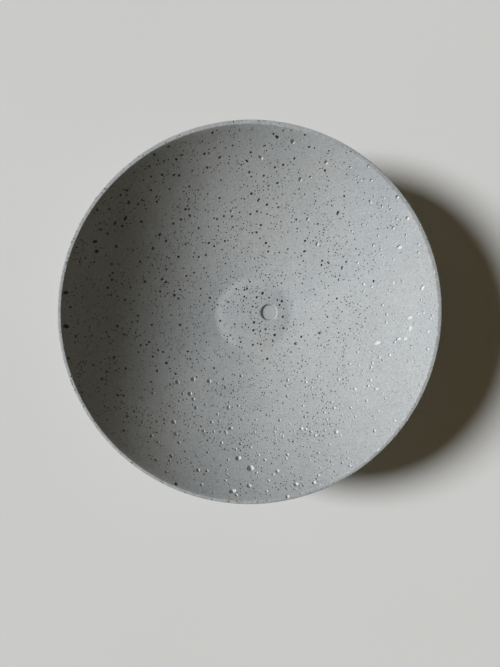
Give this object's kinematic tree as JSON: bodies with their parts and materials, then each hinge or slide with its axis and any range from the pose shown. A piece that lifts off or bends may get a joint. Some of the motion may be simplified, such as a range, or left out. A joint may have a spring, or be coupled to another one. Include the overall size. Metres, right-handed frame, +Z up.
{
  "type": "concrete planter bowl",
  "caption": "Shallow round planter bowl of cast concrete with a level lip, a raised floor disc, an off-centre drain hole closed by a bung, and floor pads under its foot.",
  "frame": {"origin": "on the ground, under the middle of the bowl", "axes": "+Z up, along the bowl's axis; +X runs from the middle of the floor roughly towards the drain hole"},
  "size_m": [0.3, 0.3, 0.08],
  "materials": {
    "concrete": "matt, fine cast surface with many small air pits",
    "bung_rubber": "matt grey moulded rubber",
    "pad_rubber": "matt black moulded rubber"
  },
  "bodies": {
    "bowl": {"bowl": "concrete", "pad_back_right": "pad_rubber", "pad_back_left": "pad_rubber", "pad_front_left": "pad_rubber", "pad_front_right": "pad_rubber"},
    "drain_bung": {"drain_bung": "bung_rubber"}
  },
  "joints": [
    {"name": "bung_lift", "type": "slide", "parent": "bowl", "child": "drain_bung", "axis": [0, 0, 1], "range_m": [0, 0.02]}
  ]
}
